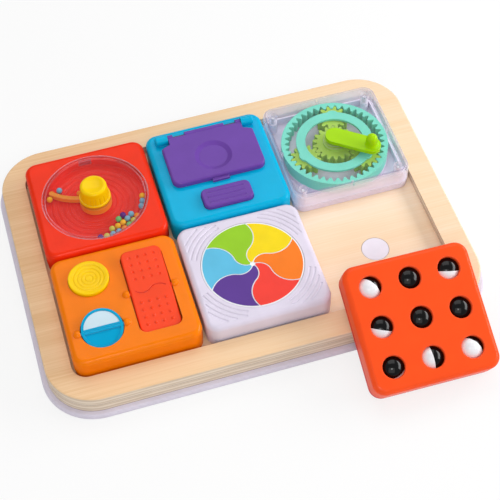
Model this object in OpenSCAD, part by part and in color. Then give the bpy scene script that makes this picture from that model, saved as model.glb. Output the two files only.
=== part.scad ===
// Tabletop activity board: a plywood tray on a moulded base holds six square play tiles.
// Five tiles are seated, and the sixth leans on the front right corner of the tray.

/* [Tray] */
// Side of one square tile
tile = 90; // [88:1:98]
// Gap between neighbouring tiles
tile_gap = 2; // [1:0.5:4]
// Gap between the outer tiles and the wall of the recess
bay_gap = 1.7; // [1:0.1:3]
// Width of the wooden rim at the left and right
rim_side = 18; // [14:0.5:26]
// Width of the wooden rim at the front and back
rim_front = 19.3; // [14:0.1:26]
// Corner radius of the wooden board
board_r = 34; // [24:1:40]
// Thickness of the frame panel, which is the depth of the recess
frame_t = 7; // [5:0.5:9]
// Thickness of the floor panel
floor_t = 7.6; // [7:0.1:10]
// Height of the base
base_t = 4.2; // [3.6:0.1:6]
// How far the base stands out past the wood
base_lip = 3.8; // [2:0.1:6]
// Rounding of the upper edge of the base
base_round = 1.6; // [0.6:0.1:2]
// Rounding of the upper edge of the wood
wood_round = 1.2; // [0.4:0.1:2]
// Distance of the base screws from the edges of the board
base_screw_inset = 24; // [18:1:30]
// Length of a base screw under its head
base_screw_l = 7; // [6:0.5:8]

/* [Push buttons] */
// Radius of the button face in the floor of a bay
button_r = 9.8; // [7:0.1:12]
// How far the button's collar stands out
collar_w = 3.2; // [2:0.1:4]
// Thickness of the collar
collar_t = 1.4; // [1:0.1:2]
// Upward travel of a button
button_travel = 3.5; // [2:0.1:3.5]
// How far the button lies above the underside of the base
button_recess = 0.8; // [0.5:0.1:1.5]

/* [Tile casing] */
// Height of a tile
tile_h = 20.3; // [20:0.1:24]
// Corner radius of a tile in plan
tile_r = 9; // [8.4:0.1:12]
// Rounding of the upper edge of a tile
tile_fillet = 4; // [2:0.1:4]
// Wall thickness of the casings
wall = 2.2; // [1.8:0.1:2.4]
// Height of the outer wall of a tile's pan
pan_h = 5.6; // [5:0.1:6]
// Thickness of the pan's floor
pan_floor = 1.8; // [1.4:0.1:2]
// How far the pan's outer wall stands back from the shell above it
pan_inset = 0.3; // [0.1:0.1:0.6]
// Thickness of the locating lip of the pan
lip_t = 1.2; // [0.8:0.1:1.4]
// Height of the locating lip over the pan's wall
lip_h = 2; // [1:0.1:3]
// Radius of the screw posts
post_r = 3.3; // [2.6:0.1:3.3]
// Distance of the screw posts from the sides of a tile
post_inset = 8; // [7.6:0.1:9]
// Shank radius of a tile screw
screw_r = 1.2; // [1:0.1:1.4]
// Head radius of a tile screw
head_r = 2.3; // [2:0.1:2.5]
// Head thickness of a tile screw
head_t = 1.5; // [1:0.1:2]
// Length of a tile screw under its head
screw_l = 14; // [12:0.5:15]
// Thickness of the boss under a screw head
boss_t = 9; // [7:0.5:10]

/* [Clearances] */
// Gap between pieces that rest on each other
seat = 0.2; // [0.1:0.05:0.3]
// Radial gap of pins in their bores
fit = 0.08; // [0.04:0.02:0.1]
// Gap beside pieces that slide or turn
run = 0.3; // [0.2:0.05:0.4]
// Gap round pieces that tilt in an opening
swing = 0.7; // [0.6:0.1:1]

/* [Bead tile] */
// Radius of the bead chamber
chamber_r = 36.5; // [34:0.5:37]
// Height of the bead chamber
chamber_h = 6.2; // [5.8:0.1:7]
// Width of the ledge that carries the window
window_ledge = 2.4; // [2:0.1:2.5]
// Thickness of the window
window_t = 1.6; // [1.2:0.1:2]
// Width of the legs that hold the window
leg_w = 9; // [6:0.5:12]
// Length of those legs below the window
leg_h = 4.6; // [3:0.1:5]
// Thickness of those legs
leg_t = 1.2; // [0.8:0.1:1.2]
// Direction of the first leg
leg_turn = 0; // [0:1:89]
// Radius of a bead
bead_r = 2.2; // [1.8:0.1:2.3]
// Direction of the first bead of the heap
heap_turn = -97; // [-180:1:0]
// Number of beads in the outer row of the heap
heap_l = 8; // [4:4:12]
// How far each inner row of the heap lags behind the row outside it
heap_lag = 18; // [10:1:24]
// Spacing of the raised rings on the chamber floor
ring_step = 4; // [3.5:0.1:5]
// Height of the raised rings
ring_rise = 0.6; // [0.6:0.1:0.8]
// Width of the raised rings
ring_w = 2; // [1.6:0.1:2]
// Radius of the fixed spindle under the knob
spindle_r = 2.8; // [2:0.1:3]
// Radius of the sweeper's hub
sweep_hub_r = 11.7; // [10:0.1:12]
// Width of the sweeper arm
sweep_w = 3.2; // [2.4:0.1:3.2]
// Height of the sweeper arm
sweep_h = 3.7; // [3:0.1:4]
// Gap between the sweeper arm and the wall of the chamber
sweep_gap = 1.3; // [0.5:0.1:2]
// Radius of the sweeper arm's tip
sweep_tip = 1.9; // [1.7:0.1:2.4]
// Bend radius of the sweeper arm
sweep_bend = 36; // [28:1:60]
// Direction of the sweeper arm
sweep_turn = 153; // [0:1:359]
// Radius of the knob's stem
stem_r = 6.6; // [6:0.1:7]
// Radius of the knob's foot
knob_foot_r = 11.4; // [11:0.1:12]
// Height of the knob's foot
knob_foot_h = 1.4; // [1:0.1:2]
// Radius of the knob above its foot
knob_r = 10.8; // [10:0.1:10.9]
// Radius of the knob at its top
knob_top_r = 9.7; // [8.5:0.1:10]
// Height of the knob over the tile
knob_h = 13; // [12:0.5:16]
// Rounding of the knob's upper edge
knob_round = 2; // [1:0.1:2.5]
// Number of flutes round the knob
flutes = 18; // [12:1:24]
// Radius of the flutes
flute_r = 1.2; // [0.8:0.1:1.3]
// Depth of the flutes
flute_deep = 0.5; // [0.3:0.1:0.6]
// Height of the flutes
flute_h = 6.5; // [4:0.5:7]
// Depth of the dish in the knob's top
knob_dish = 1.2; // [0.6:0.1:2]
// Radius across the corners of the knob's drive
knob_drive_r = 5.6; // [5:0.1:5.8]
// Depth of the knob's drive in the sweeper
knob_drive_h = 2; // [1.5:0.1:2.5]

/* [Lid tile] */
// Width of the lid
lid_w = 70.5; // [66:0.5:72]
// Depth of the lid in front of the hinge axis
lid_d = 46; // [44:0.5:47]
// Thickness of the lid
lid_t = 4.5; // [4:0.1:5]
// Thickness of the lid's top plate
lid_plate = 2.8; // [2.4:0.1:3.2]
// Corner radius of the lid
lid_r = 6; // [4:0.5:8]
// Rounding of the lid's upper edge
lid_round = 1.7; // [1:0.1:2]
// Radius of the round dish in the lid
dish_r = 13.9; // [10:0.1:14.5]
// Depth of the round dish in the lid
dish_deep = 1.5; // [0.8:0.1:1.7]
// Width of the dish's sloping wall
dish_wall = 3.4; // [2:0.1:5]
// Distance of the dish behind the tile's centre
dish_y = 8.3; // [6:0.1:9]
// Distance of the hinge axis behind the tile's centre
hinge_y = 34.5; // [34:0.1:35.5]
// Radius of the hinge barrel
barrel_r = 2.6; // [2.4:0.1:2.8]
// Radius of the hinge pin
hinge_pin_r = 0.9; // [0.7:0.1:1.1]
// Width of a hinge knuckle on the tile
knuckle_w = 9.4; // [8:0.1:10]
// How far the knuckles are thicker than the barrel
knuckle_grow = 0.9; // [0.5:0.1:1.2]
// Rounding of the knuckles' outer ends
knuckle_round = 1.4; // [0.8:0.1:2]
// How far the lid reaches past the inner faces of the knuckles
lid_over = 7; // [6:0.1:8]
// Distance of the lid's shoulders from the hinge axis, beside the barrel
notch = 7.2; // [6:0.1:8]
// How far the shoulders slope towards the sides of the lid
notch_slope = 3.3; // [1:0.1:4]
// Width of the catch at the lid's front
catch_w = 12.8; // [8:0.1:16]
// Reach of the catch in front of the lid
catch_l = 2.2; // [1.5:0.1:4]
// Thickness of the catch
catch_t = 2; // [1.5:0.1:2.4]
// Width of the slots in the hinge barrel
slot_w = 9.2; // [6:0.1:10]
// Distance of those slots from the tile's centre
slot_x = 19.8; // [16:0.1:21]
// Width of the box under the lid
box_w = 56; // [40:1:56]
// Depth of the box from front to back
box_d = 29; // [20:1:30]
// Distance of the box's middle behind the tile's centre
box_y = 10.5; // [10:0.5:12]
// Height of the box inside
box_h = 10.5; // [8:0.5:11]
// Corner radius of the box
box_r = 4; // [2:0.5:6]
// Width of the release button
release_w = 37; // [30:0.5:38]
// Depth of the release button
release_d = 17.6; // [15:0.1:18]
// Corner radius of the release button
release_r = 4.5; // [3:0.5:5]
// Distance of the release button in front of the tile's centre
release_y = 28.4; // [27:0.1:29]
// How far the release button stands above the tile
release_rise = 3.3; // [2.8:0.1:4]
// Travel of the release button
release_travel = 2.2; // [1.5:0.1:2.5]
// Rounding of the release button's upper edge
release_round = 1.5; // [1:0.1:2]
// Number of bars across the release button
grips = 3; // [2:1:3]
// Spacing of those bars
grip_step = 4.5; // [3.5:0.1:5]
// Radius of those bars
grip_r = 1.1; // [0.8:0.1:1.3]

/* [Gear tile] */
// Tooth module of the gears
gear_m = 1.7; // [1.6:0.05:1.7]
// Pressure angle of the teeth
pressure = 25; // [22:1:26]
// Number of teeth of the sun gear
sun_teeth = 18; // [18:6:18]
// Number of teeth of a planet gear
planet_teeth = 12; // [12:6:12]
// Play between meshing teeth
backlash = 0.34; // [0.3:0.02:0.4]
// Outer radius of the ring gear
ring_r = 40.2; // [39.6:0.1:40.3]
// Height of the ring gear
ring_h = 10.2; // [9:0.1:10.4]
// Height of the sun and planet gears
gear_h = 9.6; // [8.5:0.1:9.8]
// Height of the deck that carries the gears
deck_h = 3.4; // [2.5:0.1:3.5]
// Width of the ribs that centre the ring gear in the cover
rib_w = 1.6; // [1:0.1:2.4]
// Direction of the first planet gear
planet_turn = 75; // [0:1:119]
// Radius of the planet pins and the sun's pilot pin
planet_pin_r = 2.5; // [2:0.1:3]
// Width of the carrier ring
carrier_w = 7; // [5:0.5:8]
// Thickness of the carrier ring
carrier_t = 1.8; // [1.4:0.1:2]
// Radius of the lobes of the carrier ring
lobe_r = 5.2; // [4.5:0.1:6]
// Radius of the crank shaft
shaft_r = 4.2; // [3.6:0.1:4.6]
// Radius across the corners of the shaft's drive
drive_r = 3.6; // [3:0.1:3.6]
// Thickness of the crank arm over the drive
drive_cap = 1.2; // [0.8:0.1:1.4]
// Radius of the bush in the cover
bush_r = 8.6; // [7.5:0.1:9.5]
// Height of the bush over the cover
bush_rise = 0.5; // [0.4:0.1:1.5]
// Distance of the crank's peg from the shaft
crank_l = 28.5; // [24:0.5:30]
// Width of the crank arm
crank_w = 14.2; // [12:0.1:15]
// Thickness of the crank arm
crank_t = 3; // [2.6:0.1:4]
// Direction of the crank arm
crank_turn = -37; // [-180:1:180]
// Radius of the crank's peg
peg_r = 4.2; // [3.5:0.1:5]
// Height of the peg over the arm
peg_h = 10.4; // [8:0.1:14]
// How far the foot of the peg spreads
peg_foot = 1.2; // [0.6:0.1:2]

/* [Switch tile] */
// Position of the dome button to the left of the tile's centre
dome_x = 20.4; // [19.5:0.1:21]
// Position of the dome button behind the tile's centre
dome_y = 21.5; // [21:0.1:22]
// Radius of the dome button
dome_r = 14.4; // [12:0.1:14.6]
// Height of the dome button over the tile
dome_edge = 2.2; // [1.5:0.1:3]
// Rounding of its upper edge
dome_round = 0.8; // [0.4:0.1:1.2]
// Depth of the dish in its top
dome_dish = 1.2; // [0.6:0.1:1.6]
// Travel of the dome button
dome_travel = 3; // [2:0.1:3.4]
// Number of ring grooves in the dish
dome_rings = 4; // [2:1:4]
// Radius of those grooves
dome_groove = 0.7; // [0.5:0.1:0.9]
// Position of the flip disc in front of the tile's centre
disc_y = 20.8; // [20:0.1:21.5]
// Radius of the flip disc
disc_r = 14.4; // [12:0.1:14.6]
// Thickness of the flip disc
disc_t = 5; // [4:0.1:5.4]
// Tilt of the flip disc to either side
disc_tilt = 14; // [5:0.5:15]
// Width of the flip disc's rim
disc_rim = 1.7; // [1.2:0.1:2.4]
// Width of the ridge across the flip disc
disc_ridge = 3.4; // [2.6:0.1:4]
// Radius of the groove along the ridge
ridge_groove = 0.6; // [0.4:0.1:0.8]
// Depth of the two fields of the flip disc
disc_field = 1; // [0.6:0.1:1.4]
// Thickness of the pale insert
insert_t = 0.6; // [0.4:0.1:0.8]
// Position of the rocker to the right of the tile's centre
rocker_x = 18.8; // [18:0.1:19.5]
// Position of the rocker behind the tile's centre
rocker_y = 0.9; // [0:0.1:2]
// Width of the rocker
rocker_w = 28.8; // [26:0.1:30]
// Length of the rocker
rocker_l = 66; // [62:0.5:67]
// Thickness of the rocker
rocker_t = 5; // [4:0.1:6]
// Corner radius of the rocker
rocker_r = 5; // [3:0.1:7]
// Rounding of the rocker's upper edge
rocker_round = 1.3; // [0.6:0.1:2]
// Reach of the line across the rocker to either side
rocker_reach = 10.5; // [8:0.5:12]
// Half of the angle that each bend of that line covers
rocker_bend = 44; // [30:1:50]
// Width and depth of that line
rocker_line = 0.8; // [0.5:0.1:1]
// Number of rows and columns of dimples and bumps on the rocker
dots = 4; // [3:1:4]
// Spacing of the dimples and bumps
dot_step = 5.8; // [5:0.1:6]
// Distance of their first rows from the pivots
dot_y = 9.4; // [8.5:0.1:10]
// Radius of the balls that shape them
dot_r = 1.3; // [1:0.1:1.5]
// Distance of those balls' centres from the rocker's face
dot_sink = 0.5; // [0.3:0.1:0.7]
// Tilt of the rocker to either side
rocker_tilt = 6; // [3:0.5:7]
// Radius of the pivots
pivot_r = 1.5; // [1.2:0.1:1.8]
// Length of a pivot
pivot_l = 1.6; // [1.4:0.1:2.4]
// Radius of the bumps over the pivots
bump_r = 3.4; // [3:0.1:3.6]
// Depth of the pivots below the tile's top
pivot_deep = 1.1; // [0.8:0.1:1.4]

/* [Wheel tile] */
// Radius of the wheel
wheel_r = 36.2; // [32:0.1:36.4]
// Thickness of the wheel
wheel_t = 2.6; // [2:0.1:3.2]
// Radius of the wheel's stem
wheel_stem_r = 4; // [3:0.1:5]
// Radius of the clip that holds the wheel
clip_r = 7; // [6:0.1:9]
// Thickness of the clip
clip_t = 1.6; // [1.2:0.1:2]
// Direction of the first line on the wheel
wheel_turn = 24; // [0:1:59]
// Distance from the wheel's centre at which its lines change their bend
wheel_cross = 13.7; // [10:0.1:18]
// Half of the angle that each bend of a line covers
wheel_bend = 46; // [20:1:60]
// Width of the lines on the wheel
wheel_line = 0.8; // [0.6:0.1:1.4]
// Depth of those lines
line_deep = 0.3; // [0.2:0.1:0.6]
// Radius of the dot in which the lines meet
wheel_dot_r = 1.5; // [1.2:0.1:2.5]
// Number of grooves in each of the tile's corners
grooves = 4; // [2:1:4]
// Depth of those grooves
groove = 0.5; // [0.4:0.1:0.7]
// Largest reach of those grooves to either side of the corner
groove_reach = 24; // [15:1:30]
// Width of the grooves in the tile's corners
groove_w = 1.8; // [1.2:0.1:2]
// Spacing of the grooves in the tile's corners
groove_step = 3.5; // [3:0.1:3.6]

/* [Ball tile] */
// Radius of a ball
ball_r = 9; // [8.6:0.1:9.2]
// Radius of the holes over the balls
ball_hole_r = 7.7; // [7:0.1:7.9]
// Spacing of the balls
ball_pitch = 28; // [26:0.1:28]
// Thickness of the top plate
ball_plate_t = 3.2; // [2.8:0.1:3.6]
// Radius of the cups under the balls
cup_r = 7; // [5:0.1:8]
// How deep a ball sits in its cup
cup_deep = 2.6; // [2:0.1:3.5]
// Chamfer of the holes over the balls
hole_chamfer = 0.6; // [0.3:0.1:0.8]
// Lean of the tile that was taken out
lean = 22.6; // [18:0.1:28]
// Turn of the tile that was taken out
lean_turn = -1; // [-4:0.5:4]
// Distance of the tile that was taken out from the middle of the tray
lean_x = 95; // [80:1:110]

/* [Springs] */
// Thickness of the flanges of the sprung buttons
flange_t = 1.5; // [1:0.1:2]
// How far those flanges reach under the tile's top
flange_w = 1.4; // [1:0.1:2]
// Coil radius of the button springs
spring_r = 4.4; // [4:0.1:5]
// Wire radius of the button springs
wire_r = 0.5; // [0.4:0.1:0.6]
// Turns of a button spring
spring_turns = 5; // [4:1:6]

/* [Hidden] */
$fn = 48;
// How far joined shapes reach into each other, and how far a cut runs past the face that it opens
weld = 0.4;
cut = 1;
// Side of the tiles, which has room for the ring gear inside the pan's lip
tile_side = max(tile, 2 * (ring_r + run + lip_t + seat + wall));
pitch = tile_side + tile_gap;
bay_w = 3 * tile_side + 2 * tile_gap + 2 * bay_gap;
bay_d = 2 * tile_side + tile_gap + 2 * bay_gap;
bay_r = tile_r + bay_gap;
board_w = bay_w + 2 * rim_side;
board_d = bay_d + 2 * rim_front;
floor_z = base_t + floor_t;
wood_z = floor_z + frame_t;
tile_z = floor_z + seat;
collar_r = button_r + collar_w;
collar_room = collar_t + button_travel + seat + run;
shell_z = pan_h + seat;
head_sink = head_t + seat;
boss_z = head_sink + boss_t;
post_at = tile_side / 2 - post_inset;
pan_w = tile_side - 2 * pan_inset;
lip_w = tile_side - 2 * wall - 2 * seat;
lip_r = tile_r - wall - seat;
through = 2 * tile_h;
window_r = chamber_r + window_ledge;
window_z = tile_h - window_t;
chamber_z = window_z - chamber_h;
bead_z = chamber_z + ring_rise + fit + bead_r;
hub_z = chamber_z + ring_rise + run;
hub_top = window_z - run;
drive_z = hub_top - knob_drive_h;
knob_z = tile_h + run;
barrel_z = tile_h + run + barrel_r;
lid_z = tile_h + run;
lid_front = hinge_y - lid_d;
lid_side = lid_w / 2 - lid_over;
knuckle_x = lid_side + run;
knuckle_r = barrel_r + knuckle_grow;
shoulder_y = hinge_y - notch - notch_slope;
box_z = tile_h - box_h;
hinge_pin_l = 2 * (knuckle_x + knuckle_w - hinge_pin_r);
flange_z = tile_h - wall - run - flange_t;
stub_r = spring_r - wire_r - run;
ring_teeth = sun_teeth + 2 * planet_teeth;
planets = 3;
tooth_tip = 0.8;
tooth_root = 1.1;
planet_d = gear_m * (sun_teeth + planet_teeth) / 2;
tooth_up = tooth_tip * gear_m;
tooth_down = tooth_root * gear_m;
deck_z = pan_floor + deck_h;
gear_z = deck_z + run;
gear_top = gear_z + gear_h;
carrier_z = gear_top + run;
bush_bottom = carrier_z + carrier_t + run;
crank_z = tile_h + bush_rise + run;
pivot_z = tile_h - pivot_deep;
wheel_z = tile_h - seat - wheel_t;
cup_floor_z = wheel_z - run;
clip_z = cup_floor_z - wall - clip_t - run;
ball_z = tile_h - ball_plate_t - sqrt(pow(ball_r, 2) - pow(ball_hole_r, 2)) - run;
cup_top = ball_z - ball_r + cup_deep;
ball_post_at = max(post_at, ball_pitch + (ball_r + post_r + run) * sin(45));
lean_gap = run + tile_side / 2 * abs(sin(lean_turn)) * sin(lean);
lean_z = tile_side / 2 * sin(lean) + fit;
lean_y = -board_d / 2 - (lean_gap + (wood_z - lean_z) * cos(lean)) / sin(lean);

// Places of the tiles
function bay_x(column) = (column - 1) * pitch;
function bay_y(row) = (0.5 - row) * pitch;
module in_bay(column, row) translate([bay_x(column), bay_y(row), tile_z]) children();
module leaning() translate([lean_x, lean_y, lean_z]) rotate([lean, 0, lean_turn]) children();

// Basic shapes
module rounded_rect(w, d, r) {
    square([w - 2 * r, d], center = true);
    square([w, d - 2 * r], center = true);
    for (sx = [-1, 1], sy = [-1, 1])
        translate([sx * (w / 2 - r), sy * (d / 2 - r)]) circle(r);
}

module prism(w, d, r, h) linear_extrude(h) rounded_rect(w, d, r);

module edge_section(r, h, f) {
    square([r, h - f]);
    square([r - f, h]);
    translate([r - f, h - f]) circle(f);
}

module rounded_block(w, d, r, h, f) {
    x = w / 2 - r;
    y = d / 2 - r;
    for (i = [0:3])
        translate([(i == 0 || i == 3) ? x : -x, i < 2 ? y : -y, 0])
            rotate(90 * i) rotate_extrude(angle = 90) edge_section(r, h, f);
    for (side = [0, 1]) {
        mirror([side, 0, 0])
            translate([x, y, 0]) rotate([90, 0, 0]) linear_extrude(2 * y) edge_section(r, h, f);
        mirror([0, side, 0])
            translate([-x, y, 0]) rotate([90, 0, 90]) linear_extrude(2 * x) edge_section(r, h, f);
    }
    translate([-x, -y, 0]) cube([2 * x, 2 * y, h]);
}

module arc_bar(r, w, h, from, to) rotate(from) rotate_extrude(angle = to - from)
    translate([r - w / 2, 0]) square([w, h]);

module rod(r, l) rotate([0, 90, 0]) cylinder(r = r, h = l, center = true);

// Radius of a ball whose cap has the given radius and rise
function cap_ball(r, rise) = (pow(r, 2) + pow(rise, 2)) / 2 / rise;

// Screw with its head down
module screw(r, l) {
    cylinder(r = head_r, h = head_t);
    cylinder(r = r, h = head_t + l);
}

// Tile casing
module at_posts(at) for (sx = [-1, 1], sy = [-1, 1]) translate([sx * at, sy * at, 0]) children();

module casing(top_t, at = post_at) {
    inside = tile_side - 2 * wall;
    ceiling = tile_h - top_t;
    post_z = boss_z + seat;
    difference() {
        union() {
            difference() {
                translate([0, 0, shell_z])
                    rounded_block(tile_side, tile_side, tile_r, tile_h - shell_z, tile_fillet);
                translate([0, 0, shell_z - cut])
                    prism(inside, inside, tile_r - wall, ceiling - shell_z + cut);
            }
            at_posts(at) translate([0, 0, post_z]) cylinder(r = post_r, h = ceiling - post_z + weld);
        }
        at_posts(at) cylinder(r = screw_r + fit, h = head_sink + screw_l + run);
    }
}

module pan(at = post_at) {
    inside = lip_w - 2 * lip_t;
    difference() {
        union() {
            difference() {
                union() {
                    prism(pan_w, pan_w, tile_r - pan_inset, pan_h);
                    prism(lip_w, lip_w, lip_r, pan_h + lip_h);
                }
                translate([0, 0, pan_floor]) prism(inside, inside, lip_r - lip_t, through);
            }
            at_posts(at) cylinder(r = post_r, h = boss_z);
        }
        at_posts(at) {
            translate([0, 0, -cut]) cylinder(r = head_r + seat, h = head_sink + cut);
            cylinder(r = screw_r + seat, h = through);
        }
    }
}

module tile_screws(at = post_at) at_posts(at) translate([0, 0, head_sink - head_t]) screw(screw_r, screw_l);

// Compression spring between the floor of a pan and the flange of a button
module coil_spring() {
    sides = 6;
    steps = 10 * spring_turns;
    bottom = pan_floor + fit + wire_r;
    rise = (flange_z - fit - wire_r - bottom) / steps;
    points = [
        for (i = [0:steps], k = [0:sides - 1])
            let (turn = 360 * spring_turns * i / steps, r = spring_r + wire_r * cos(360 * k / sides))
            [r * cos(turn), r * sin(turn), bottom + rise * i + wire_r * sin(360 * k / sides)]
    ];
    walls = [
        for (i = [0:steps - 1], k = [0:sides - 1], half = [0, 1])
            let (a = sides * i + k, b = sides * i + (k + 1) % sides)
            half == 0 ? [a, a + sides, b] : [b, a + sides, b + sides]
    ];
    start = [for (k = [1:sides - 2]) [0, k, k + 1]];
    last = sides * steps;
    end = [for (k = [1:sides - 2]) [last, last + k + 1, last + k]];
    polyhedron(points, concat(walls, start, end), convexity = 2 * spring_turns);
}

// Stub inside a spring, which meets the floor of the pan at the end of the travel
module spring_stub(travel) {
    bottom = pan_floor + seat + travel;
    translate([0, 0, bottom]) cylinder(r = stub_r, h = flange_z - bottom + weld);
}

// Gear outlines
function involute(a) = tan(a) * 180 / PI - a;
function half_tooth(n, slack, rho) =
    let (r = gear_m * n / 2, base = r * cos(pressure), a = rho > base ? acos(base / rho) : 0)
    90 / n + involute(pressure) - involute(a) - slack / r * 45 / PI;
function gear_points(n, up, down, slack) =
    let (r = gear_m * n / 2, flank = 4)
    [
        for (i = [0:n - 1], side = [-1, 1], k = [0:flank])
            let (
                rho = r - down + (up + down) * (side < 0 ? k : flank - k) / flank,
                a = 360 * i / n + side * half_tooth(n, slack, rho)
            )
            [rho * cos(a), rho * sin(a)]
    ];

// Tray
module at_base_screws() {
    x = board_w / 2 - base_screw_inset;
    y = board_d / 2 - base_screw_inset;
    for (px = [-x, 0, x], py = [-y, y]) translate([px, py, 0]) children();
}

module at_buttons() for (c = [0:2], r = [0, 1]) translate([bay_x(c), bay_y(r), 0]) children();

module base_tray() color("#e2dcec") difference() {
    rounded_block(board_w + 2 * base_lip, board_d + 2 * base_lip, board_r + base_lip, base_t, base_round);
    at_buttons() translate([0, 0, -cut]) cylinder(r = button_r + run, h = base_t + 2 * cut);
    at_base_screws() {
        translate([0, 0, -cut]) cylinder(r = head_r + seat, h = head_sink + cut);
        cylinder(r = screw_r + seat, h = base_t + cut);
    }
}

module floor_panel() color("#e6c394") difference() {
    translate([0, 0, base_t]) prism(board_w, board_d, board_r, floor_t);
    at_buttons() {
        cylinder(r = button_r + run, h = floor_z + cut);
        cylinder(r = collar_r + run, h = base_t + collar_room);
    }
    at_base_screws() cylinder(r = screw_r + fit, h = head_sink + base_screw_l + run);
}

module frame_panel() color("#edc898") translate([0, 0, floor_z]) difference() {
    rounded_block(board_w, board_d, board_r, frame_t, wood_round);
    translate([0, 0, -cut]) prism(bay_w, bay_d, bay_r, frame_t + 2 * cut);
}

module base_screws() color("silver") at_base_screws() translate([0, 0, head_sink - head_t])
    screw(screw_r, base_screw_l);

module push_button(i) color("#ece8f2") translate([bay_x((i - 1) % 3), bay_y(floor((i - 1) / 3)), 0]) {
    translate([0, 0, button_recess]) cylinder(r = button_r, h = floor_z - button_recess - fit);
    translate([0, 0, base_t + seat]) cylinder(r = collar_r, h = collar_t);
}

// Bead tile
module at_legs() for (i = [0:3]) rotate(90 * i + leg_turn) children();

module bead_shell() color("#f5320f") in_bay(0, 0) {
    difference() {
        union() {
            casing(wall);
            translate([0, 0, chamber_z - wall])
                cylinder(r = window_r + wall, h = tile_h - weld - chamber_z + wall);
        }
        translate([0, 0, chamber_z]) cylinder(r = chamber_r, h = through);
        translate([0, 0, window_z]) cylinder(r = window_r + seat, h = through);
        at_legs() translate([chamber_r - cut, -leg_w / 2 - run, window_z - leg_h - run])
            cube([cut + leg_t + 2 * run, leg_w + 2 * run, leg_h + run + cut]);
    }
    ridge = cap_ball(ring_w / 2, ring_rise);
    for (r = [sweep_hub_r + ring_step : ring_step : chamber_r - ring_w])
        translate([0, 0, chamber_z + ring_rise - ridge]) rotate_extrude() translate([r, 0]) circle(ridge);
    translate([0, 0, chamber_z - weld]) cylinder(r = spindle_r, h = tile_h - chamber_z);
}

module bead_window() color("#ff8a8a", 0.4) in_bay(0, 0) translate([0, 0, window_z]) difference() {
    union() {
        cylinder(r = window_r, h = window_t);
        at_legs() translate([chamber_r + run, -leg_w / 2, -leg_h]) cube([leg_t, leg_w, leg_h + window_t / 2]);
    }
    translate([0, 0, -cut]) cylinder(r = stem_r + run, h = window_t + 2 * cut);
}

module knob_section() {
    edge = knob_top_r - knob_round;
    polygon([[0, weld], [knob_r, weld], [knob_top_r, knob_h - knob_round], [edge, knob_h], [0, knob_h]]);
    translate([edge, knob_h - knob_round]) circle(knob_round);
}

module bead_knob() color("#ffd21c") in_bay(0, 0) difference() {
    dish = cap_ball(knob_top_r - knob_round - weld, knob_dish);
    taper = atan((knob_r - knob_top_r) / (knob_h - knob_round));
    union() {
        translate([0, 0, drive_z]) cylinder(r = knob_drive_r, h = knob_drive_h + weld, $fn = 6);
        translate([0, 0, hub_top + fit]) cylinder(r = stem_r, h = knob_z - hub_top + weld);
        translate([0, 0, knob_z]) {
            rotate_extrude() edge_section(knob_foot_r, knob_foot_h, knob_foot_h / 3);
            rotate_extrude() knob_section();
        }
    }
    translate([0, 0, drive_z - cut]) cylinder(r = spindle_r + fit, h = knob_z - drive_z + cut);
    for (i = [0:flutes - 1]) rotate(360 / flutes * i)
        translate([knob_r + flute_r - flute_deep, 0, knob_z + knob_foot_h + weld])
            rotate([0, -taper, 0]) cylinder(r = flute_r, h = flute_h);
    translate([0, 0, knob_z + knob_h - knob_dish + dish]) sphere(r = dish);
}

module bead_sweeper() color("#f7a52a") in_bay(0, 0) {
    start = sweep_hub_r - sweep_w / 2;
    span = chamber_r - sweep_gap - sweep_tip - start;
    half = asin(span / 2 / sweep_bend);
    difference() {
        union() {
            translate([0, 0, hub_z]) cylinder(r = sweep_hub_r, h = hub_top - hub_z);
            rotate(sweep_turn) translate([start, 0, hub_z]) {
                translate([span / 2, -sweep_bend * cos(half), 0])
                    arc_bar(sweep_bend, sweep_w, sweep_h, 90 - half, 90 + half);
                translate([span, 0, 0]) cylinder(r = sweep_tip, h = sweep_h);
            }
        }
        translate([0, 0, drive_z - seat]) cylinder(r = knob_drive_r + fit, h = through, $fn = 6);
        translate([0, 0, hub_z - cut]) cylinder(r = spindle_r + fit, h = through);
    }
}

module bead(r, a) rotate(a) translate([r, 0, bead_z]) sphere(r = bead_r);

// Beads heaped in three rows along the wall, with a few strays beside the sweeper
module beads() color("#b9d44a") in_bay(0, 0) {
    gap = 2 * bead_r + run;
    rows = [for (i = [0:2]) chamber_r - bead_r - run - gap * i];
    steps = [for (r = rows) 2 * asin(gap / 2 / r)];
    for (i = [0:heap_l - 1]) bead(rows[0], heap_turn + steps[0] * i);
    for (i = [0:heap_l / 2]) bead(rows[1], heap_turn + heap_lag + steps[1] * i);
    for (i = [0:heap_l / 4 - 1]) bead(rows[2], heap_turn + 2 * heap_lag + steps[2] * i);
    for (i = [1:3]) bead(rows[0], heap_turn + steps[0] * (heap_l + i));
    bead(rows[0], sweep_turn + steps[0]);
    bead(rows[1], sweep_turn - steps[1]);
    bead(sweep_hub_r + bead_r + run, sweep_turn - heap_lag);
}

// Lid tile
module knuckle() translate([knuckle_x, hinge_y, 0]) {
    translate([0, 0, barrel_z]) rotate([0, 90, 0]) rotate_extrude()
        edge_section(knuckle_r, knuckle_w, knuckle_round);
    translate([0, weld - knuckle_r, tile_h - weld])
        cube([knuckle_w - 2 * knuckle_round, 2 * (knuckle_r - weld), barrel_z - tile_h]);
}

module lid_shell() color("#00b2de") in_bay(1, 0) difference() {
    union() {
        casing(wall);
        translate([0, box_y, box_z - wall])
            prism(box_w + 2 * wall, box_d + 2 * wall, box_r + wall, box_h + wall - weld);
        for (side = [0, 1]) mirror([side, 0, 0]) knuckle();
    }
    translate([0, box_y, box_z]) prism(box_w, box_d, box_r, through);
    translate([0, -release_y, tile_h - wall - cut])
        prism(release_w + 2 * run, release_d + 2 * run, release_r + run, through);
    translate([0, hinge_y, barrel_z]) rod(hinge_pin_r + fit, hinge_pin_l + 2 * run);
}

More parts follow.
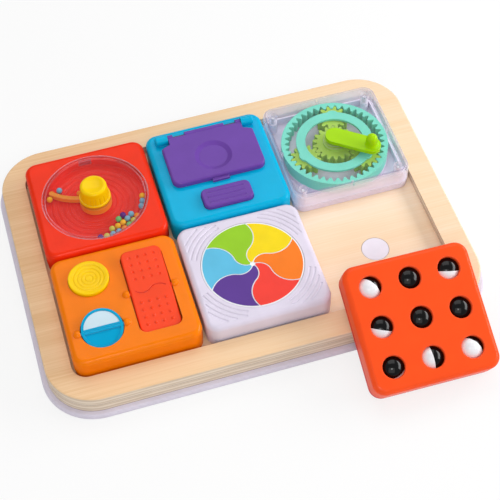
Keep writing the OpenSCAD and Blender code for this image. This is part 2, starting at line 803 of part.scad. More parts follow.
// Cut beside the barrel that clears a knuckle
module lid_notch() {
    out = lid_w / 2 + cut;
    translate([0, 0, lid_z - cut]) linear_extrude(through) polygon([
        [lid_side, hinge_y + cut], [lid_side, hinge_y - notch], [out, shoulder_y], [out, hinge_y + cut]
    ]);
}

module lid() color("#7650ac") in_bay(1, 0) {
    depth = lid_d - weld;
    slot_front = hinge_pin_r + fit + weld;
    difference() {
        union() {
            difference() {
                translate([0, lid_front + depth / 2, lid_z])
                    rounded_block(lid_w, depth, lid_r, lid_t, lid_round);
                for (side = [0, 1]) mirror([side, 0, 0]) lid_notch();
            }
            translate([0, hinge_y, barrel_z]) rod(barrel_r, 2 * lid_side);
            translate([-catch_w / 2, lid_front - catch_l, lid_z]) cube([catch_w, catch_l + lid_r, catch_t]);
        }
        translate([0, (lid_front + shoulder_y) / 2, lid_z - cut])
            prism(lid_w - 4 * wall, shoulder_y - lid_front - 4 * wall, lid_r - wall, lid_t - lid_plate + cut);
        for (s = [-1, 1]) translate([s * slot_x - slot_w / 2, hinge_y - slot_front, lid_z - cut])
            cube([slot_w, slot_front + barrel_r + cut, through]);
        translate([0, dish_y, lid_z + lid_t - dish_deep])
            cylinder(r1 = dish_r - dish_wall, r2 = dish_r + dish_wall * cut / dish_deep, h = dish_deep + cut);
        translate([0, hinge_y, barrel_z]) rod(hinge_pin_r + fit, 2 * (lid_side + cut));
    }
}

module lid_hinge_pin() color("silver") in_bay(1, 0)
    translate([0, hinge_y, barrel_z]) rod(hinge_pin_r, hinge_pin_l);

module release_button() color("#7650ac") in_bay(1, 0) translate([0, -release_y, 0]) {
    top = tile_h + release_rise;
    spread = 2 * (run + flange_w);
    translate([0, 0, flange_z]) rounded_block(release_w, release_d, release_r, top - flange_z, release_round);
    for (i = [0:grips - 1]) translate([0, grip_step * (i - (grips - 1) / 2), top - grip_r / 2])
        rod(grip_r, release_w - 2 * release_r);
    translate([0, 0, flange_z])
        prism(release_w + spread, release_d + spread, release_r + spread / 2, flange_t);
    spring_stub(release_travel);
}

module release_spring() color("silver") in_bay(1, 0) translate([0, -release_y, 0]) coil_spring();

// Gear tile
module gear_cover() color("#f4f4ff", 0.35) in_bay(2, 0) difference() {
    rib_l = tile_side / 2 - wall - ring_r - run;
    union() {
        casing(wall);
        translate([0, 0, bush_bottom]) cylinder(r = bush_r, h = tile_h + bush_rise - bush_bottom);
        for (i = [0:3]) rotate(90 * i) translate([ring_r + run, -rib_w / 2, pan_h + lip_h + seat])
            cube([rib_l + weld, rib_w, tile_h - wall - pan_h - lip_h]);
    }
    cylinder(r = shaft_r + fit, h = through);
}

module gear_pan() color("#efeaf6") in_bay(2, 0) {
    pan();
    translate([0, 0, pan_floor - weld]) cylinder(r = ring_r + run, h = deck_h + weld);
    translate([0, 0, deck_z - weld]) cylinder(r = planet_pin_r, h = gear_h);
}

module ring_gear() color("#7dd7c3") in_bay(2, 0) translate([0, 0, deck_z])
    linear_extrude(ring_h) difference() {
        circle(ring_r);
        rotate(planet_turn + 180 / ring_teeth)
            polygon(gear_points(ring_teeth, tooth_down, tooth_up, -backlash / 2));
    }

module sun_gear() color("#a5cd4b") in_bay(2, 0) difference() {
    union() {
        translate([0, 0, gear_z]) linear_extrude(gear_h)
            rotate(planet_turn) polygon(gear_points(sun_teeth, tooth_up, tooth_down, backlash / 2));
        translate([0, 0, gear_top - weld]) {
            cylinder(r = bush_r, h = bush_bottom - run - gear_top + weld);
            cylinder(r = shaft_r, h = crank_z - fit - gear_top + weld);
            rotate(crank_turn)
                cylinder(r = drive_r, h = crank_z + crank_t - drive_cap - gear_top + weld, $fn = 6);
        }
    }
    cylinder(r = planet_pin_r + fit, h = gear_top);
}

function planet_angle(i) = planet_turn + 360 / planets * i;
module at_planet(i) rotate(planet_angle(i)) translate([planet_d, 0, 0]) children();

module planet_gear(i) color("#a5cd4b") in_bay(2, 0) at_planet(i - 1) translate([0, 0, gear_z])
    linear_extrude(gear_h) difference() {
        rotate(180 / planet_teeth) polygon(gear_points(planet_teeth, tooth_up, tooth_down, backlash / 2));
        circle(planet_pin_r + fit);
    }

module planet_carrier() color("#7dd7c3") in_bay(2, 0) {
    translate([0, 0, carrier_z]) linear_extrude(carrier_t) difference() {
        union() {
            circle(planet_d + carrier_w / 2);
            for (i = [0:planets - 1]) rotate(planet_angle(i)) translate([planet_d, 0]) circle(lobe_r);
        }
        circle(planet_d - carrier_w / 2);
    }
    for (i = [0:planets - 1]) at_planet(i) translate([0, 0, gear_z])
        cylinder(r = planet_pin_r, h = carrier_z - gear_z + weld);
}

module crank_handle() color("#a5dc00") in_bay(2, 0) rotate(crank_turn) translate([0, 0, crank_z])
    difference() {
        union() {
            linear_extrude(crank_t) {
                circle(crank_w / 2);
                translate([0, -crank_w / 2]) square([crank_l, crank_w]);
                translate([crank_l, 0]) circle(crank_w / 2);
            }
            translate([crank_l, 0, crank_t - weld]) {
                cylinder(r1 = peg_r + peg_foot, r2 = peg_r, h = 2 * peg_foot);
                cylinder(r = peg_r, h = peg_h - peg_r + weld);
                translate([0, 0, peg_h - peg_r + weld]) sphere(r = peg_r);
            }
        }
        translate([0, 0, -cut]) cylinder(r = drive_r + fit, h = crank_t - drive_cap + seat + cut, $fn = 6);
    }

// Switch tile
module pivot_bumps(half) for (s = [-1, 1]) translate([s * (half + pivot_l + weld), 0, 0])
    sphere(r = bump_r);

module pivots(half) for (s = [-1, 1]) translate([s * (half + (swing + pivot_l - seat - weld) / 2), 0, 0])
    rod(pivot_r, swing + pivot_l - seat + weld);

module at_dome() translate([-dome_x, dome_y, 0]) children();
module at_disc() translate([-dome_x, -disc_y, pivot_z]) children();
module at_rocker() translate([rocker_x, rocker_y, pivot_z]) children();

module switch_shell() color("#fa7d08") in_bay(0, 1) difference() {
    disc_hole = disc_r + swing;
    rocker_hole = rocker_w / 2 + swing;
    union() {
        casing(wall);
        at_disc() pivot_bumps(disc_hole);
        at_rocker() pivot_bumps(rocker_hole);
    }
    at_dome() translate([0, 0, tile_h - wall - cut]) cylinder(r = dome_r + run, h = through);
    at_disc() translate([0, 0, -bump_r - cut]) cylinder(r = disc_hole, h = through);
    at_rocker() translate([0, 0, -bump_r - cut])
        prism(2 * rocker_hole, rocker_l + 2 * swing, rocker_r + swing, through);
    at_disc() rod(pivot_r + fit, 2 * (disc_hole + pivot_l));
    at_rocker() rod(pivot_r + fit, 2 * (rocker_hole + pivot_l));
}

module dome_button() color("#fad015") in_bay(0, 1) at_dome() {
    top = tile_h + dome_edge;
    dish_rim = dome_r - dome_round - weld;
    curve = cap_ball(dish_rim, dome_dish);
    centre_z = top - dome_dish + curve;
    ring_gap = dish_rim / (dome_rings + 1);
    difference() {
        translate([0, 0, flange_z]) rotate_extrude() edge_section(dome_r, top - flange_z, dome_round);
        translate([0, 0, centre_z]) sphere(r = curve);
        for (i = [1:dome_rings]) {
            side = sqrt(pow(curve, 2) - pow(ring_gap * i, 2));
            translate([0, 0, centre_z - side + dome_groove / 3])
                rotate_extrude() translate([ring_gap * i, 0]) circle(dome_groove);
        }
    }
    translate([0, 0, flange_z]) cylinder(r = dome_r + run + flange_w, h = flange_t);
    spring_stub(dome_travel);
}

module dome_spring() color("silver") in_bay(0, 1) at_dome() coil_spring();

// Half of a round field behind the ridge of the flip disc
module half_field(gap, t) intersection() {
    r = disc_r - disc_rim - gap;
    cylinder(r = r, h = t);
    translate([-r, disc_ridge / 2 + gap, 0]) cube([2 * r, r, t]);
}

module flip_disc() color("#00a5d2") in_bay(0, 1) at_disc() rotate([disc_tilt, 0, 0]) {
    difference() {
        translate([0, 0, -disc_t / 2]) cylinder(r = disc_r, h = disc_t);
        for (s = [0, 1]) mirror([0, s, 0]) translate([0, 0, disc_t / 2 - disc_field]) half_field(0, disc_t);
        translate([0, 0, disc_t / 2 + ridge_groove / 3]) rod(ridge_groove, 2 * (disc_r - disc_rim));
    }
    pivots(disc_r);
}

module flip_insert() color("#f0f4f8") in_bay(0, 1) at_disc() rotate([disc_tilt, 0, 0])
    translate([0, 0, disc_t / 2 - disc_field + fit]) half_field(fit, insert_t);

// One bend of a line, from one distance along x to another, and a little past both
module line_bend(from, to, side, half, w, h) {
    r = (to - from) / 2 / sin(half);
    reach = half + weld / r * 180 / PI;
    translate([(from + to) / 2, -side * r * cos(half), 0])
        arc_bar(r, w, h, side * 90 - reach, side * 90 + reach);
}

// Balls in rows and columns on one half of the rocker
module dot_rows(z) for (row = [0:dots - 1], column = [0:dots - 1])
    translate([dot_step * (column - (dots - 1) / 2), dot_y + dot_step * row, z]) sphere(r = dot_r);

module rocker() color("#fa4a20") in_bay(0, 1) at_rocker() rotate([rocker_tilt, 0, 0]) {
    top = rocker_t / 2;
    difference() {
        translate([0, 0, -top]) rounded_block(rocker_w, rocker_l, rocker_r, rocker_t, rocker_round);
        translate([0, 0, top - rocker_line]) {
            line_bend(-rocker_reach, 0, -1, rocker_bend, rocker_line, rocker_t);
            line_bend(0, rocker_reach, 1, rocker_bend, rocker_line, rocker_t);
        }
        dot_rows(top + dot_sink);
    }
    mirror([0, 1, 0]) dot_rows(top - dot_sink);
    pivots(rocker_w / 2);
}

// Wheel tile
module wheel_shell() color("#e4dbec") in_bay(1, 1) difference() {
    flat = tile_side / 2 - tile_fillet;
    well_r = wheel_r + run;
    groove_r = cap_ball(groove_w / 2, groove);
    union() {
        casing(wall);
        translate([0, 0, cup_floor_z - wall])
            cylinder(r = well_r + wall, h = tile_h - weld - cup_floor_z + wall);
    }
    translate([0, 0, cup_floor_z]) cylinder(r = well_r, h = through);
    cylinder(r = wheel_stem_r + fit, h = through);
    for (corner = [0:3], i = [1:grooves]) {
        r = well_r + groove_step * i;
        reach = min(groove_reach, 45 - acos(min(1, flat / r)));
        translate([0, 0, tile_h - groove + groove_r]) rotate(90 * corner + 45 - reach)
            rotate_extrude(angle = 2 * reach) translate([r, 0]) circle(groove_r);
    }
}

module pinwheel() color("#f0c030") in_bay(1, 1) {
    difference() {
        translate([0, 0, wheel_z]) cylinder(r = wheel_r, h = wheel_t);
        translate([0, 0, wheel_z + wheel_t - line_deep]) {
            cylinder(r = wheel_dot_r, h = line_deep + cut);
            for (i = [0:5]) rotate(wheel_turn + 60 * i) {
                line_bend(0, wheel_cross, 1, wheel_bend, wheel_line, line_deep + cut);
                line_bend(wheel_cross, wheel_r + wheel_line, -1, wheel_bend, wheel_line, line_deep + cut);
            }
        }
    }
    translate([0, 0, clip_z]) cylinder(r = wheel_stem_r, h = wheel_z - clip_z + weld);
}

module wheel_clip() color("silver") in_bay(1, 1) translate([0, 0, clip_z]) difference() {
    cylinder(r = clip_r, h = clip_t);
    translate([0, 0, -cut]) cylinder(r = wheel_stem_r + fit, h = clip_t + 2 * cut);
}

// Ball tile
module at_ball(i) translate([(i % 3 - 1) * ball_pitch, (1 - floor(i / 3)) * ball_pitch, 0]) children();
module at_balls() for (i = [0:8]) at_ball(i) children();

module ball_plate() color("#fa5223") leaning() difference() {
    casing(ball_plate_t, ball_post_at);
    at_balls() {
        translate([0, 0, ball_z]) cylinder(r = ball_hole_r, h = through);
        translate([0, 0, tile_h - hole_chamfer])
            cylinder(r1 = ball_hole_r, r2 = ball_hole_r + 2 * hole_chamfer, h = 2 * hole_chamfer);
    }
}

module ball_tray() color("#e8431a") leaning() {
    pan(ball_post_at);
    difference() {
        at_balls() translate([0, 0, pan_floor - weld]) cylinder(r = cup_r, h = cup_top - pan_floor + weld);
        at_balls() translate([0, 0, ball_z]) sphere(r = ball_r + seat);
    }
}

module ball(i) color("#202024") leaning() at_ball(i - 1) translate([0, 0, ball_z]) sphere(r = ball_r);

base_tray();
floor_panel();
frame_panel();
base_screws();
push_button(1);  // push_button_1
push_button(2);  // push_button_2
push_button(3);  // push_button_3
push_button(4);  // push_button_4
push_button(5);  // push_button_5
push_button(6);  // push_button_6
bead_shell();
color("#f5320f") in_bay(0, 0) pan();  // bead_pan
color("silver") in_bay(0, 0) tile_screws();  // bead_screws
bead_window();
bead_knob();
bead_sweeper();
beads();
lid_shell();
color("#00b2de") in_bay(1, 0) pan();  // lid_pan
color("silver") in_bay(1, 0) tile_screws();  // lid_screws
lid();
lid_hinge_pin();
release_button();
release_spring();
gear_cover();
gear_pan();
color("silver") in_bay(2, 0) tile_screws();  // gear_screws
ring_gear();
sun_gear();
planet_gear(1);  // planet_gear_1
planet_gear(2);  // planet_gear_2
planet_gear(3);  // planet_gear_3
planet_carrier();
crank_handle();
switch_shell();
color("#fa7d08") in_bay(0, 1) pan();  // switch_pan
color("silver") in_bay(0, 1) tile_screws();  // switch_screws
dome_button();
dome_spring();
flip_disc();
flip_insert();
rocker();
wheel_shell();
color("#e4dbec") in_bay(1, 1) pan();  // wheel_pan
color("silver") in_bay(1, 1) tile_screws();  // wheel_screws
pinwheel();
wheel_clip();
ball_plate();
ball_tray();
color("silver") leaning() tile_screws(ball_post_at);  // ball_screws
ball(1);  // ball_1
ball(2);  // ball_2
ball(3);  // ball_3
ball(4);  // ball_4
ball(5);  // ball_5
ball(6);  // ball_6
ball(7);  // ball_7
ball(8);  // ball_8
ball(9);  // ball_9
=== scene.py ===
import math

import bmesh
import bpy
from mathutils import Matrix, Vector


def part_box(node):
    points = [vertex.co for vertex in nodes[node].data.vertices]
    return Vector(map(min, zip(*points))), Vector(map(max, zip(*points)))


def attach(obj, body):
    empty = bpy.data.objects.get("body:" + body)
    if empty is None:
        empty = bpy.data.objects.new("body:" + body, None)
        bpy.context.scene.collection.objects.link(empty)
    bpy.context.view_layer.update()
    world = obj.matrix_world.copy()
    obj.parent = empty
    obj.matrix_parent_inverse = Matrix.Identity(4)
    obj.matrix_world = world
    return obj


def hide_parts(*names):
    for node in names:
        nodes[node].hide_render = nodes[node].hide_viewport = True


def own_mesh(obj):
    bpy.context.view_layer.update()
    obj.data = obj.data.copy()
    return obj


# Looks of the tabletop activity board. Lengths are in metres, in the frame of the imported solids.
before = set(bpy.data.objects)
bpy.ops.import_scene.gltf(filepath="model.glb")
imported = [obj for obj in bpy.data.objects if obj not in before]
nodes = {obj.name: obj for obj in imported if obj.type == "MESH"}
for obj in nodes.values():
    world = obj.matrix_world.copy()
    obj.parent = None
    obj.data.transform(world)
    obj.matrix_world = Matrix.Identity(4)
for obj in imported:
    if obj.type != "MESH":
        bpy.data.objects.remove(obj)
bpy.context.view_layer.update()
scene = bpy.context.scene
MM = 0.001

# Camera of the photograph, with angles in degrees and the lens in millimetres
CAMERA_AT = (-0.13723, -0.54728, 0.76118)
CAMERA_AZIMUTH = -15.138
CAMERA_ELEVATION = 53.897
CAMERA_ROLL = -1.965
CAMERA_LENS = 92.4

# Colours, as red, green and blue from 0 to 255
LILAC_WHITE = (224, 217, 232)
TILE_WHITE = (226, 218, 235)
BUTTON_WHITE = (236, 231, 243)
PURE_WHITE = (246, 246, 250)
INSERT_WHITE = (206, 229, 240)
RED = (243, 50, 14)
SCARLET = (255, 84, 32)
TRAY_RED = (232, 40, 18)
CORAL = (250, 72, 32)
ORANGE = (250, 126, 0)
AMBER = (250, 168, 38)
YELLOW = (253, 207, 2)
LIME = (166, 220, 0)
GEAR_GREEN = (168, 207, 74)
MINT = (118, 220, 196)
CYAN = (0, 166, 212)
SKY_BLUE = (0, 178, 222)
PURPLE = (110, 70, 165)
BLACK = (6, 6, 8)
BALL_WHITE = (240, 239, 243)
STEEL = (214, 214, 220)
# Steel of the hinge pin, darkened as painted shade so that the hinge slots show dark
PIN_SHADE_STEEL = (92, 84, 98)
WINDOW_TINT = (250, 243, 246)
WINDOW_BODY = (255, 190, 202)
# Painted glint: a pale pink line along the window's edges
WINDOW_PAINTED_GLINT_LINE = (255, 214, 220)
COVER_TINT = (254, 254, 255)
COVER_BODY = (244, 237, 249)
# Painted shade: a grey-violet line along the cover's edges
COVER_PAINTED_SHADE_LINE = (150, 140, 176)
WHEEL_COLOURS = {
    "yellow": (246, 216, 6),
    "green": (150, 205, 35),
    "blue": (95, 190, 226),
    "purple": (92, 56, 146),
    "red": (245, 64, 52),
    "orange": (250, 126, 26),
}
BEAD_COLOURS = (
    (255, 214, 34),
    (214, 226, 88),
    (122, 204, 226),
    (110, 222, 122),
    (84, 34, 142),
    (255, 166, 30),
)
# Painted shade at the foot of each plywood panel, where it sits on the part below
CONTACT_SHADE_BROWN = (132, 98, 74)

# Colours of the veneer and of the plywood's edges, from dark to pale grain
VENEER_RAMP = (
    (0.22, (219, 174, 122)),
    (0.48, (242, 206, 163)),
    (0.74, (250, 224, 194)),
    (0.9, (253, 233, 213)),
)
PLY_RAMP = (
    (0.15, (212, 191, 168)),
    (0.55, (226, 209, 189)),
    (0.95, (236, 221, 203)),
)


def linear(colour, scale=1.0):
    """Linear colour with alpha 1 from red, green and blue between 0 and 255."""
    parts = [min(max(c * scale, 0), 255) / 255 for c in colour]
    return [c / 12.92 if c <= 0.04045 else ((c + 0.055) / 1.055) ** 2.4 for c in parts] + [1]


# Shading: a noise is named as its scale and detail, a bump as its depth and strength, and a span as
# the two values that a number is mapped from
BEVEL_SAMPLES = 4


class Shading:
    """The node tree of one material, with short ways to add nodes to it."""

    def __init__(self, name):
        self.material = bpy.data.materials.new(name)
        self.material.use_nodes = True
        self.tree = self.material.node_tree
        self.shader = self.tree.nodes["Principled BSDF"]
        self.output = self.tree.nodes["Material Output"]
        self.place = self.add("TexCoord").outputs["Object"]

    def add(self, kind, inputs=None, **settings):
        node = self.tree.nodes.new("ShaderNode" + kind)
        for key, value in settings.items():
            setattr(node, key, value)
        self.set(node, inputs or {})
        return node

    def set(self, node, inputs):
        for socket, value in inputs.items():
            if isinstance(value, bpy.types.NodeSocket):
                self.tree.links.new(value, node.inputs[socket])
            else:
                node.inputs[socket].default_value = value

    def maths(self, operation, *values):
        return self.add("Math", dict(enumerate(values)), operation=operation).outputs[0]

    def vector(self, operation, *values):
        node = self.add("VectorMath", dict(enumerate(values)), operation=operation)
        return node.outputs["Value" if operation in ("DOT_PRODUCT", "LENGTH") else "Vector"]

    def split(self, vector):
        return self.add("SeparateXYZ", {"Vector": vector}).outputs

    def stretch(self, scale, place):
        return self.add("Mapping", {"Vector": place, "Scale": scale}).outputs["Vector"]

    def noise(self, scale, detail, place=None, distortion=0.0):
        inputs = {"Scale": scale, "Detail": detail, "Distortion": distortion}
        inputs["Vector"] = place or self.place
        return self.add("TexNoise", inputs).outputs["Fac"]

    def remap(self, value, low, high, to_low, to_high):
        inputs = {0: value, 1: low, 2: high, 3: to_low, 4: to_high}
        return self.add("MapRange", inputs).outputs[0]

    def mix(self, factor, a, b):
        node = self.add("Mix", data_type="RGBA")
        self.set(node, {0: factor, 6: a, 7: b})
        return node.outputs[2]

    def ramp(self, factor, stops, interpolation="LINEAR"):
        node = self.add("ValToRGB", {"Fac": factor})
        node.color_ramp.interpolation = interpolation
        marks = node.color_ramp.elements
        while len(marks) < len(stops):
            marks.new(0.5)
        for mark, (position, colour) in zip(marks, stops):
            mark.position = position
            mark.color = linear(colour)
        return node.outputs["Color"]

    def bump(self, height, distance, strength, normal=None):
        inputs = {"Height": height, "Distance": distance, "Strength": strength}
        if normal:
            inputs["Normal"] = normal
        return self.add("Bump", inputs).outputs["Normal"]

    def flat(self):
        return self.add("NewGeometry").outputs["Normal"]

    def rounded(self, radius):
        bevel = self.add("Bevel", {"Radius": radius}, samples=BEVEL_SAMPLES)
        return bevel.outputs["Normal"]

    def blend(self, share, a, b):
        """Shader b over shader a, by a share."""
        return self.add("MixShader", {0: share, 1: a.outputs[0], 2: b.outputs[0]})

    def show(self, shader):
        """Makes a shader the surface of the material."""
        self.set(self.output, {"Surface": shader.outputs[0]})
        return self.material


# Moulded plastic
EDGE_R = 0.35 * MM
PLASTIC_SHINE = 0.02
PLASTIC_ROUGH = 0.4
COAT = 0.25
COAT_ROUGH = 0.12
CLOUD_NOISE = (70, 3)
CLOUD_SPAN = (0.3, 0.7)
CLOUD_DARK = 0.975
CLOUD_PALE = 1.01
CLOUD_VALUE = 0.955
GLOSS_NOISE = (260, 4)
GLOSS_SPAN = (0.25, 0.75)
GLOSS_BELOW = 0.05
GLOSS_ABOVE = 0.07
SKIN_NOISE = (2600, 2)
SKIN_BUMP = (0.02 * MM, 0.35)
WORN_SPAN = (0.97, 0.8)
WORN_SHARE = 0.16
BALL_SHINE = 0.3
BALL_ROUGH = 0.1
BALL_SEAM = 0.05 * MM
BEAD_ROUGH = 0.2
SECTOR_ROUGH = 0.3


def moulded(shading, colour, rough=PLASTIC_ROUGH, rubbed=True):
    """Moulded plastic under a thin gloss: faint clouds in the colour, a fine uneven skin and, where
    asked, rubbed edges."""
    cloud = shading.remap(shading.noise(*CLOUD_NOISE), *CLOUD_SPAN, 0, 1)
    colour = shading.mix(cloud, *shades(shading, colour))
    rounded = None
    if rubbed:
        rounded = shading.rounded(EDGE_R)
        turned = shading.vector("DOT_PRODUCT", rounded, shading.flat())
        worn = shading.remap(turned, *WORN_SPAN, 0.0, WORN_SHARE)
        colour = shading.mix(worn, colour, linear(PURE_WHITE))
    gloss = shading.noise(*GLOSS_NOISE)
    shading.set(shading.shader, {
        "Base Color": colour,
        "Specular IOR Level": PLASTIC_SHINE,
        "Coat Weight": COAT,
        "Coat Roughness": COAT_ROUGH,
        "Roughness": shading.remap(gloss, *GLOSS_SPAN, rough - GLOSS_BELOW, rough + GLOSS_ABOVE),
        "Normal": shading.bump(shading.noise(*SKIN_NOISE), *SKIN_BUMP, rounded),
    })
    return shading.material


def shades(shading, colour):
    """A colour as a darker and a paler shade, or a socket as a darker shade and itself."""
    if isinstance(colour, bpy.types.NodeSocket):
        darker = shading.add("HueSaturation", {"Value": CLOUD_VALUE, "Color": colour})
        return darker.outputs["Color"], colour
    return linear(colour, CLOUD_DARK), linear(colour, CLOUD_PALE)


def plastic(name, colour, rough=PLASTIC_ROUGH, rubbed=True):
    return moulded(Shading(name), colour, rough, rubbed)


def two_tone(name, centre, axis):
    """Ball of two glossy halves, white on the side that axis points to, with a fine seam."""
    shading = Shading(name)
    from_centre = shading.vector("SUBTRACT", shading.place, centre)
    height = shading.vector("DOT_PRODUCT", from_centre, axis)
    side = shading.remap(height, -BALL_SEAM, BALL_SEAM, 0, 1)
    halves = shading.mix(side, linear(BLACK), linear(BALL_WHITE))
    moulded(shading, halves, BALL_ROUGH, False)
    shading.set(shading.shader, {"Specular IOR Level": BALL_SHINE, "Coat Weight": 0.0})
    return shading.material


def bead_mix():
    """Small glossy beads, each in one of a few colours."""
    shading = Shading("bead_mix")
    chance = shading.add("NewGeometry").outputs["Random Per Island"]
    step = 1 / len(BEAD_COLOURS)
    stops = [(i * step, colour) for i, colour in enumerate(BEAD_COLOURS)]
    return moulded(shading, shading.ramp(chance, stops, "CONSTANT"), BEAD_ROUGH, False)


# Clear plastic
CLEAR_EDGE_R = 0.5 * MM
CLEAR_SHINE = 1.0
CLEAR_BENT_SPAN = (0.99, 0.85)
CLEAR_SLOPE = 0.8
CLEAR_SLOPE_SPAN = (0.05, 0.15)
CLEAR_WALL_SPAN = (0.3, 0.7)
CLEAR_SLANT_SPAN = (0.1, 0.4)
CLEAR_PAINTED_SHEEN_LEAST = 0.1
CLEAR_GLOSS_POWER = 5.0
CLEAR_GLOSS = (0.02, 0.7)
CLEAR_PAINTED_LINE_SHARE = 0.45
CLEAR_GLINT_RING_SHARE = 0.3
CLEAR_ROUGH = (0.08, 0.14)
CLEAR_ROUGH_NOISE = (400, 3)
CLEAR_ROUGH_SPAN = (0.3, 0.8)
CLEAR_WAVE_NOISE = (45, 1)
CLEAR_WAVE_BUMP = (0.05 * MM, 0.25)


def clear(name, node, tint, body, edge, painted_sheen, glint_rings=()):
    """Polished clear plastic: a gloss that grows towards a slanting view, a painted sheen of its
    pale lit body in its upright walls, a painted line in the edge colour where it turns, dark as
    shade or pale as glint, and painted glint rings, each as its radius and width round the middle
    of the node."""
    shading = Shading(name)
    flat = shading.flat()
    # Mask of the painted edge line: where the surface bends, or slopes as a fillet does, it takes
    # the edge colour
    turned = shading.vector("DOT_PRODUCT", shading.rounded(CLEAR_EDGE_R), flat)
    painted_line_mask = shading.remap(turned, *CLEAR_BENT_SPAN, 0.0, 1.0)
    upward = shading.maths("ABSOLUTE", shading.split(flat)["Z"])
    slope = shading.maths("ABSOLUTE", shading.maths("SUBTRACT", upward, CLEAR_SLOPE))
    painted_line_mask = shading.maths("MAXIMUM", painted_line_mask, shading.remap(slope, *CLEAR_SLOPE_SPAN, 1.0, 0.0))
    uneven = shading.noise(*CLEAR_ROUGH_NOISE)
    shading.set(shading.shader, {
        "Base Color": shading.mix(painted_line_mask, linear(body), linear(edge)),
        "Specular IOR Level": CLEAR_SHINE,
        "Roughness": shading.remap(uneven, *CLEAR_ROUGH_SPAN, *CLEAR_ROUGH),
        "Normal": shading.bump(shading.noise(*CLEAR_WAVE_NOISE), *CLEAR_WAVE_BUMP),
    })

    # Painted sheen: the upright walls show more of the pale lit body the more they slant to the
    # view
    slant = shading.add("LayerWeight").outputs["Facing"]
    wall = shading.remap(upward, *CLEAR_WALL_SPAN, painted_sheen, 0.0)
    wall_slant = shading.remap(slant, *CLEAR_SLANT_SPAN, CLEAR_PAINTED_SHEEN_LEAST, 1.0)
    share = shading.maths("MULTIPLY", wall, wall_slant)
    steep = shading.maths("POWER", slant, CLEAR_GLOSS_POWER)
    share = shading.maths("MAXIMUM", share, shading.remap(steep, 0.0, 1.0, *CLEAR_GLOSS))
    # The painted edge line also shows more of the opaque body there
    painted_line_share = shading.maths("MULTIPLY", painted_line_mask, CLEAR_PAINTED_LINE_SHARE)
    share = shading.maths("MAXIMUM", share, painted_line_share)
    low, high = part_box(node)
    from_middle = shading.vector("SUBTRACT", shading.place, (low + high) / 2)
    aside = shading.vector("LENGTH", shading.vector("MULTIPLY", from_middle, (1, 1, 0)))
    # Painted glint: rings where the opaque body shows, round the middle of the node
    for radius, width in glint_rings:
        off = shading.maths("ABSOLUTE", shading.maths("SUBTRACT", aside, radius))
        glint_ring = shading.remap(off, width / 4, width / 2, CLEAR_GLINT_RING_SHARE, 0.0)
        share = shading.maths("MAXIMUM", share, glint_ring)

    path = shading.add("LightPath").outputs
    lamp = shading.maths("MAXIMUM", path["Is Shadow Ray"], path["Is Diffuse Ray"])
    share = shading.maths("MULTIPLY", share, shading.maths("SUBTRACT", 1.0, lamp))
    through = shading.add("BsdfTransparent", {"Color": linear(tint)})
    return shading.show(shading.blend(share, through, shading.shader))


# Steel
STEEL_DARK = 0.85
STEEL_NOISE = (900, 4)
STEEL_SPAN = (0.3, 0.7)
STEEL_ROUGH = (0.36, 0.55)
STEEL_BUMP = (0.02 * MM, 0.4)


def steel(name, colour):
    """Steel with fine turning marks."""
    shading = Shading(name)
    marks = shading.noise(*STEEL_NOISE)
    shading.set(shading.shader, {
        "Base Color": shading.mix(marks, linear(colour, STEEL_DARK), linear(colour)),
        "Metallic": 1.0,
        "Roughness": shading.remap(marks, *STEEL_SPAN, *STEEL_ROUGH),
        "Normal": shading.bump(marks, *STEEL_BUMP),
    })
    return shading.material


# Plywood: its veneer has painted light that makes it paler to the right, and its layers show on the
# edges
PLY_T = 1.75 * MM
PLY_STREAK_STRETCH = (12, 12, 130)
PLY_STREAK = 0.3
CONTACT_SHADE_HEIGHT = (0.25 * MM, 0.6 * MM)
CONTACT_SHADE_SHARE = 0.8
GRAIN_NOISE = (4.0, 3)
GRAIN_SPAN = (0.3, 0.7)
FIGURE_STRETCH = (0.7, 13, 13)
FIGURE_BEND = 0.8
FIGURE_SHARE = 0.38
FIBRE_STRETCH = (5, 260, 260)
FIBRE_SHARE = 0.3
FIBRE_BUMP = (0.05 * MM, 0.25)
VENEER_SPAN = 0.16
VENEER_PAINTED_LIGHT_DRIFT = (0.07, 0.29)
UPRIGHT_SPAN = (0.45, 0.75)
WOOD_SHINE = 0.12
WOOD_ROUGH = (0.42, 0.56)


